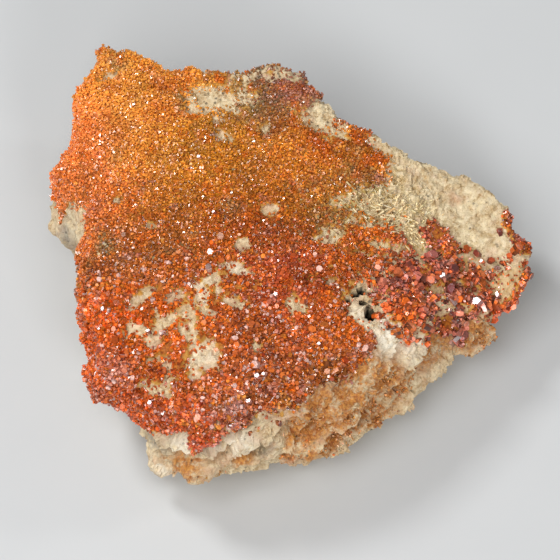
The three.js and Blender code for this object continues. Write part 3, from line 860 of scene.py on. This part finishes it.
def cell_map(loops, bevelled, cells, across):
    """Map places: each crystal is seen from its tip, inside its own square cell of the map."""
    if bevelled:
        corner = loops % 6
        reach = 0.46 - 0.1 * (loops // 6)
        reach[:6] = 0.05
        angle = corner * math.pi / 3
    else:
        angle = loops * math.pi / 3
        reach = np.where(loops == 0, 0.46, 0.3)
        for face in range(6):
            angle[3 * face] = angle[3 * face + 1:3 * face + 3].mean()
        angle[15] += math.pi
    local = np.stack([0.5 + reach * np.cos(angle), 0.5 + reach * np.sin(angle)], axis=1)
    origin = np.stack([cells % across, cells // across], axis=1)
    return ((origin[:, None, :] + local[None, :, :]) / across).reshape(-1, 2)


def add_crystals(name, crystals, material, nodes):
    """Makes one piece of many crystals, which stands for the named nodes."""
    mesh = build_mesh(name, crystals)
    mesh.materials.append(material)
    piece = added(name, mesh)
    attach(piece, "root")
    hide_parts(*nodes)


# ---- Colours ----

palette = {
    "amber": ["F09A34", "F6AC48", "E88A26", "F0AE50"],
    "salmon": ["F08A44", "E87C30", "F49A5A", "DE7030"],
    "ochre": ["C8861E", "B47616", "D69630", "A46C14"],
    "brown": ["A85C1C", "925010", "BA6C22", "804412"],
    "orange": ["D6681A", "C85812", "E07C26", "B84E10"],
    "vivid": ["E8580E", "F06A18", "DC4A0C", "F47A24"],
    "red": ["BE4610", "A6360A", "CC561A", "902C0A"],
    "dark": ["8A3A12", "74300E", "9A4818", "64260C"],
    "purple": ["9C4C48", "AC5E58", "84383A", "B66A60"],
    # Pink stands for the soft light's pinkish reflection on red crystals: painted sheen.
    "pink": ["BC7A70", "CA9082", "A06058", "D8AC9C"],
    "sand": ["DCB276", "E8C894", "C8964E", "D0A468"],
    "rust": ["C88038", "B26C28", "DA964C", "9E5C20"],
    "cream": ["F6E6B8", "FFF2D0", "E8D498", "F0DFAE"],
    "olive": ["6C6240", "8A7E54", "584C34", "A89C72"],
}

# Soft zones of the upper side, for each colour: x, y, reach, strength.
zones = {
    "amber": [(-38, 43, 14, 1.8), (-32, 21, 15, 0.9), (0, 27, 10, 0.8)],
    "salmon": [(-52, 34, 12, 1.4), (-48, 14, 13, 1.6)],
    "orange": [
        (-42, 8, 12, 0.8), (-12, 14, 16, 0.7), (4, 22, 12, 0.7), (18, 0, 12, 1.1), (-26, -18, 12, 1.2),
        (-34, -26, 9, 1.8), (-26, -36, 10, 1.4), (16, -24, 8, 1.0), (46, -2, 12, 1.0),
        (32, -22, 8, 1.2), (-10, -30, 14, 0.6), (6, -24, 10, 0.6), (-44, -34, 10, 1.2),
        (36, -8, 14, 0.6),
    ],
    "ochre": [(-18, 22, 18, 1.2), (8, 12, 12, 0.9)],
    "brown": [(-6, 6, 16, 0.9), (-34, -4, 13, 1.2), (10, -12, 10, 0.6), (8, -30, 10, 1.0)],
    "dark": [
        (-3, 31, 3, 2), (-12, -24, 8, 1.3), (-8, -38, 9, 0.9), (-2, 41, 7, 0.9), (38, -10, 8, 0.8),
    ],
    "red": [
        (6.5, 27, 3.5, 2), (-14, -2, 16, 0.8), (2, -8, 12, 1.3), (4, -22, 12, 1.0), (-40, -30, 12, 1.2),
        (-28, -44, 10, 1.1), (-32, 34, 4, 1.6), (40, -6, 14, 1.5), (54, 2, 8, 1.2),
        (-32.4, 41.5, 2.2, 2.5),
    ],
    "purple": [
        (-1, -8, 6, 0.7), (-46, -37, 7, 1.0), (-2, 41, 6, 0.8), (30, -6, 9, 0.9), (40, -18, 6, 0.6),
        (44, -8, 12, 0.5), (27, -14, 5, 1.4), (37, -20, 4.5, 1.3), (34, 0, 4.5, 1.4),
    ],
    "olive": [
        (-14.6, 6, 3, 1.6), (8.9, 6.6, 4, 1.6), (-45.8, -0.9, 2.5, 2.4), (-27, -5, 4, 0.9),
        (-39.4, 49.2, 2.2, 2.5), (-29.3, 34.8, 1.4, 3), (-25.4, 40.6, 1.6, 3), (-29.5, 38.4, 1.2, 3),
        (-41.3, 23.2, 2.5, 1.0), (-36.5, 36.8, 2, 1.0), (-6, 38, 8, 1.2), (6, 16, 5, 0.8),
        (-8, 18, 6, 0.5), (15, 16, 4, 0.8), (-2, 2, 4, 0.5),
    ],
    # The pink zones paint the soft light's reflection on red crystals as sheen.
    "pink": [
        (-42, -32, 14, 0.2), (-22, -42, 14, 0.3), (40, -8, 16, 1.0), (-10, -26, 14, 0.25),
        (8, -26, 12, 0.2), (0, 41, 7, 0.6), (-36, -6, 12, 0.25), (0, -6, 10, 0.25), (39, -16, 4.5, 1.6),
        (-46, -38, 6, 1.3),
    ],
    "vivid": [
        (-44, -26, 14, 1.2), (-30, -38, 12, 0.6), (-24, -18, 9, 0.4), (33, -23, 5, 2.0),
        (51, -7, 5, 1.4), (22, -18, 4, 1.2),
    ],
}

# Colours that come in small patches everywhere: name, strength. The pink patches are painted sheen, the soft
# light's reflection on red crystals.
patch_colours = [
    ("amber", 0.6), ("brown", 0.9), ("dark", 0.8), ("sand", 0.3), ("orange", 2.0), ("pink", 0.7),
]


def evenness(points):
    """1 in the smooth, sugary back left of the crust, falling to 0 towards the front."""
    back_left = np.exp(-((points[:, 0] + 42) ** 2 + (points[:, 1] - 36) ** 2) / 22**2)
    return np.maximum(back_left, 0.5 * smooth(0, 26, points[:, 1]))


def tints_for(points):
    """A colour for each crystal, drawn by chance from the zones that reach it."""
    shifted = points + 3.5 * np.stack([noise(points, 7, 201 + axis) for axis in range(3)], axis=1)
    names = sorted(palette)
    weights = np.full((len(points), len(names)), 0.004)
    for number, (name, strength) in enumerate(patch_colours):
        patches = smooth(0.2, 0.6, fractal(points, 2.6, 221 + 7 * number, 2))
        weights[:, names.index(name)] += strength * patches
    for name, places in zones.items():
        for x, y, reach, strength in places:
            away = ((shifted[:, 0] - x) ** 2 + (shifted[:, 1] - y) ** 2) / reach**2
            weights[:, names.index(name)] += strength * np.exp(-away)
    weights = weights**1.5
    cloudy = 1 + 0.28 * fractal(points, 6.0, 241, 2)
    return drawn(names, weights, 1 - 0.6 * evenness(points)[:, None]) * cloudy[:, None]


def drawn(names, weights, variety=1.0):
    """A colour for each row of weights: mostly their mixture, now and then one of them alone."""
    weights = weights / weights.sum(axis=1, keepdims=True)
    choice = (weights.cumsum(axis=1) < random.random((len(weights), 1))).sum(axis=1).clip(0, len(names) - 1)
    shades = np.array([[linear(code) for code in palette[name]] for name in names])
    picked = shades[choice, random.integers(0, 4, len(weights))]
    general = weights @ shades.mean(axis=1)
    share = variety * random.random((len(weights), 1)) ** 2
    mixed = general * (1 - share) + picked * share
    return mixed * (1.15 + 0.62 * variety * (random.random((len(weights), 1)) - 0.5))


def with_pale_sheen(points, tints, share):
    """The tints with a share of them, by chance, turned pale and pinkish: a painted sheen that stands for the
    lights' reflection on whole crystals.
    """
    pale = linear("E6BCB0") * (0.7 + 0.5 * random.random((len(points), 1)))
    return np.where(random.random((len(points), 1)) < share[:, None], pale, tints)


def tints_from(names, count):
    """Tints for count crystals, drawn evenly from the named colours."""
    return drawn(names, np.ones((count, len(names))))


# ---- The druses ----

def inside(node, spread=0.0):
    """1 on the rock under a druse; spread reaches past its edge."""
    return growth(node, rock, edge_distance[node], side, spread)


bare = bareness(rock)

# Where no crystal may lean over the pit.
near_pit = np.clip(1.5 * blob(rock, (17.2, -19.5, 33), (2.6, 3.2, 8)), 0, 1)

# Crystals whose tips happen to mirror the key light into the camera: x, y, width.
mirrors = [
    (44.2, -10.9, 2.7), (36.0, -6.0, 1.9), (49.4, -6.5, 1.4), (-3.8, -17.1, 1.2), (-8.2, -39, 1.3),
    (-10.2, -45.2, 1.3), (-33.8, -44.2, 1.2), (-22.3, 21.5, 0.9), (-45.1, -19.7, 1.1),
    (-34.3, -26.1, 1.0), (-18.7, 5.5, 0.8), (6.5, -30.4, 1.0), (38.2, -16.9, 1.2),
]


def beside_mirrors():
    """1 on the rock round the mirroring crystals, where no other crystal may hide them."""
    near = np.zeros(len(rock))
    for x, y, width in mirrors:
        away = np.hypot(rock[:, 0] - x, rock[:, 1] - y)
        near = np.maximum(near, smooth(0.8 * width, 0.5 * width, away))
    return near


near_mirror = beside_mirrors()


def coarse_at(points):
    """0 where the crust is finest, at the back left, to 1 at the front."""
    front = smooth(8, -22, points[:, 1])
    return np.clip(front + 0.35 * fractal(points, 9, 401) * (front + 0.3), 0, 1)


def main_crust():
    """The crust of the upper side: three meshes of fine crystals, left to right, and one of larger ones."""
    area = inside("main_crust")
    fringe = inside("main_crust", 2.4) * top * 0.35
    patchy = smooth(0.62, 0.3, bare + 0.3 * fractal(rock, 1.4, 431, 2)) * (1 - near_pit)
    back_patch = blob(rock, (-14, 40, 33), (16, 9, 20))  # sparse crystals grow even in the bare rock here
    grown = np.maximum(area * patchy, fringe * (1 - area) * patchy)
    glossy = crystal_material("crust_crystals", 0.06, 0.22, 0.25)

    points, normals = scatter(np.maximum(grown, (0.06 + 0.3 * back_patch) * area * (1 - near_pit)), 0.425)
    thirds = (points[:, 0] < np.quantile(points[:, 0], [0.333, 0.667])[:, None]).sum(axis=0)
    for third, name in enumerate(("crust_right", "crust_middle", "crust_left")):
        chosen = thirds == third
        places = points[chosen]
        growing = coarse_at(places)
        crystals = Crystals()
        widths = (0.36 + 0.03 * growing, 0.72 + 0.22 * growing)
        even = evenness(places)
        tints = with_pale_sheen(places, tints_for(places), 0.03 * growing)
        lean = 1.9 - 1.2 * even
        crystals.grow(places, normals[chosen], widths, (0.4, 1.3), lean, tints, contrast=1 - 0.8 * even)
        add_crystals("fine_" + name, crystals, glossy, ["main_crust"])

    crystals = Crystals()
    coarse = coarse_at(rock)
    open_area = area * patchy * (1 - near_mirror)
    # Chance at the back, further chance at the front, spacing, widths, lengths, lean, share turned pale pink
    # as painted sheen.
    large_sizes = [
        (0.01, 0.36, 1.2, (0.8, 1.4), (0.35, 1.0), 1.6, 0.18),
        (0.004, 0.17, 2.4, (1.3, 2.1), (0.3, 0.8), 1.3, 0.08),
    ]
    for least, further, spacing, widths, lengths, lean, sheen_share in large_sizes:
        points, normals = scatter(open_area * (least + further * coarse), spacing)
        tints = with_pale_sheen(points, tints_for(points), sheen_share * coarse_at(points))
        crystals.grow(points, normals, widths, lengths, lean, tints, bevelled=True)
    add_crystals("large_crust", crystals, glossy, ["main_crust"])


def coarse_druse(name, node, spread, largest, share=1.0):
    """Deep-coloured crystals up to largest across; some stray past the druse, as far as spread."""
    glossy = crystal_material(name, 0.05, 0.2, 0.15, 1.5)
    gaps = druse_gaps(rock)
    area = share * inside(node) * (1 - 0.9 * bare) * (1 - near_pit) * (1 - near_mirror)
    fringe = inside(node, spread) * top * (1 - area) * 0.3 * (1 - near_pit)
    crystals = Crystals()
    # Chance in the druse, chance past its edge, spacing, widths, lengths, lean, and whether bevelled.
    sizes = [
        (0.85 - 0.8 * gaps, 0.4, 0.62 * largest, (0.35 * largest, largest), (0.4, 1.0), 1.7, True),
        (0.9 - 0.84 * gaps, 0.8, 0.3 * largest, (0.22 * largest, 0.5 * largest), (0.4, 1.3), 1.9, True),
        (0.85 - 0.7 * gaps, 0.4, 0.5, (0.35, 0.7), (0.35, 1.0), 1.4, False),
    ]
    for within, beyond, spacing, widths, lengths, lean, bevelled in sizes:
        points, normals = scatter(area * within + beyond * fringe, spacing)
        crystals.grow(points, normals, widths, lengths, lean, coarse_tints(points), bevelled)
    add_crystals(name, crystals, glossy, [node])


def coarse_tints(points):
    """Deeper colours, less alike than those of the fine crust."""
    return tints_for(points) * (0.62 + 0.88 * random.random((len(points), 1)))


def flank_druse(node):
    """Fine orange-brown crystals, mostly in the hollows of the broken front."""
    sugary = crystal_material(node, 0.2, 0.45, 0.2)
    patchy = smooth(-0.1, 0.25, fractal(rock, 3.2, 441) + 0.5 * fractal(rock, 1.2, 447, 2))
    area = np.maximum(inside(node, 0.4), inside(node, 3.0) * 0.4) * side * patchy * (0.1 + 1.1 * hollow)
    area *= 1 - 0.85 * spots(rock, "white")
    points, normals = scatter(area * 0.85, 0.42)
    crystals = Crystals()
    tints = tints_from(["rust", "sand", "sand", "brown", "orange", "ochre"], len(points))
    crystals.grow(points, normals, (0.28, 0.65), (0.3, 0.8), 1.4, tints)
    add_crystals(node + "_crystals", crystals, sugary, [node])


main_crust()
coarse_druse("right_druse_crystals", "right_druse", 4.0, 2.6)
coarse_druse("island_crystals", "island_druse", 1.5, 1.8)
coarse_druse("rim_crystals", "rim_druse", 1.0, 1.4, 0.35)
coarse_druse("back_edge_crystals", "back_edge_druse", 0.5, 0.9)
for flank_node in filter(on_flank, druses):
    flank_druse(flank_node)


# ---- Crystals that stand alone ----

rock_tree = BVHTree.FromPolygons(rock.tolist(), corners.tolist())


def rock_below(x, y):
    """The highest point of the rock at x, y, and its normal there."""
    point, normal, _, _ = rock_tree.ray_cast(Vector((x, y, high[2] + 10)), Vector((0, 0, -1)))
    return point, normal


def lone_crystal(node):
    """A single crystal on the bare rock, where the frame has it."""
    corner_a, corner_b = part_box(node)
    place = (np.array(corner_a) + np.array(corner_b)) / 2 / MM
    width = float(corner_b[0] - corner_a[0]) / MM
    point, normal = rock_below(place[0], place[1])
    crystals = Crystals()
    tints = tints_from(["red", "purple", "dark"], 1)
    widths = (width, width)
    crystals.grow(np.array([point]), np.array([normal]), widths, (0.5, 0.7), 0.5, tints, bevelled=True)
    glossy = crystal_material(node, 0.05, 0.2, 0.1)
    add_crystals("lone_" + node, crystals, glossy, [node])


for crystal_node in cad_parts:
    if crystal_node.startswith("crystal"):
        lone_crystal(crystal_node)


def glinting_crystals():
    """The mirroring crystals; their tips face halfway between the key light and the camera."""
    halfway = unit(unit(np.array(key_direction)) - look)[None]
    crystals = Crystals()
    for x, y, width in mirrors:
        point, _ = rock_below(x, y)
        widths = (width, width)
        lengths = (0.5 + 0.9 / width, 0.5 + 0.9 / width)
        tints = tints_from(["purple", "pink"], 1)
        crystals.grow(np.array([point]), halfway, widths, lengths, 0.04, tints, bevelled=True)
    glossy = crystal_material("glinting", 0.03, 0.08, 0.1)
    add_crystals("glinting_crystals", crystals, glossy, ["main_crust", "right_druse"])


glinting_crystals()


# Bundles of fine pale blades in the bare rock beside the arm: x, y, reach, direction, how many.
bundles = [
    (17.5, 13, 3.0, 0.2, 60), (21.5, 12, 3.6, 1.9, 80), (26, 11, 3.8, 1.2, 90),
    (28.5, 7.5, 3.4, -0.9, 70), (14.5, 11.5, 3.0, 2.6, 40), (23.5, 8.5, 3.4, 0.1, 80),
    (28.8, 3.5, 2.8, -1.3, 50), (31, 11.5, 3.4, 0.7, 50), (19, 9, 3.0, -0.5, 60),
]


def pale_blades():
    """Thin crystals that lie on the rock, those of a bundle nearly side by side."""
    places, axes = [], []
    for x, y, reach, direction, count in bundles:
        for _ in range(count):
            turn = direction + 1.3 * (random.random() - 0.5)
            aside, back = 0.6 * reach * random.normal(size=2)
            point, normal = rock_below(x + aside, y + back)
            if point is None or normal.z < 0.3:
                continue
            outwards = Vector((math.cos(turn), math.sin(turn), 0))
            along = (outwards - outwards.dot(normal) * normal).normalized()
            places.append(point - 0.16 * normal)
            axes.append((along + (0.02 + 0.2 * random.random()) * normal).normalized())
    crystals = Crystals()
    tints = tints_from(["cream", "cream", "sand"], len(places)) * 0.92
    places, axes = np.array(places), np.array(axes)
    crystals.grow(places, axes, (0.24, 0.5), (2.2, 5.4), 0.12, tints, bevelled=True, contrast=0.4)
    silky = crystal_material("blades", 0.35, 0.6, 0.0, 0.5)
    add_crystals("pale_blades", crystals, silky, ["matrix"])


pale_blades()

add_camera()
add_surroundings()
add_floor(floor_material())
